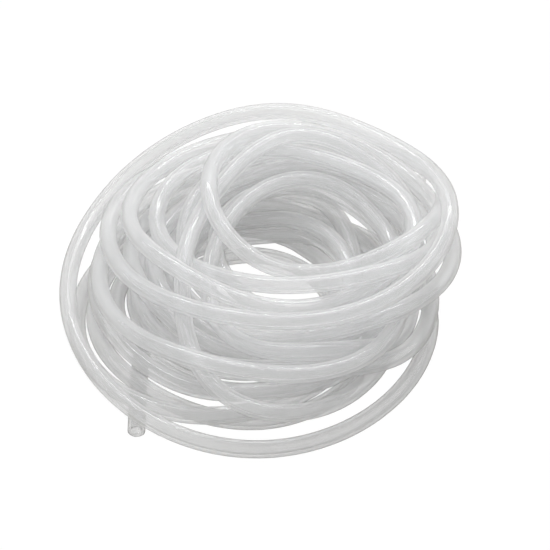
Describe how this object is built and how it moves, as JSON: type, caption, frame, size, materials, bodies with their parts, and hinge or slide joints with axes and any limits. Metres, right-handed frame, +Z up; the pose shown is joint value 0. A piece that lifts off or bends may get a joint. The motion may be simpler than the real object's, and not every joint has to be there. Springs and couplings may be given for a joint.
{
  "type": "silicone tubing coil",
  "caption": "Loose heap-like coil of translucent silicone laboratory tubing with a round bore and two plain open ends.",
  "frame": {"origin": "middle of the coil's outline seen from above, at the height of the surface that it lies on", "axes": "+Z up, +X to the right where the last end points, -Y to the front where the first end points"},
  "size_m": [0.1868, 0.1826, 0.0659],
  "materials": {
    "silicone": "satin"
  },
  "bodies": {
    "root": {"tubing": "silicone"}
  },
  "joints": []
}
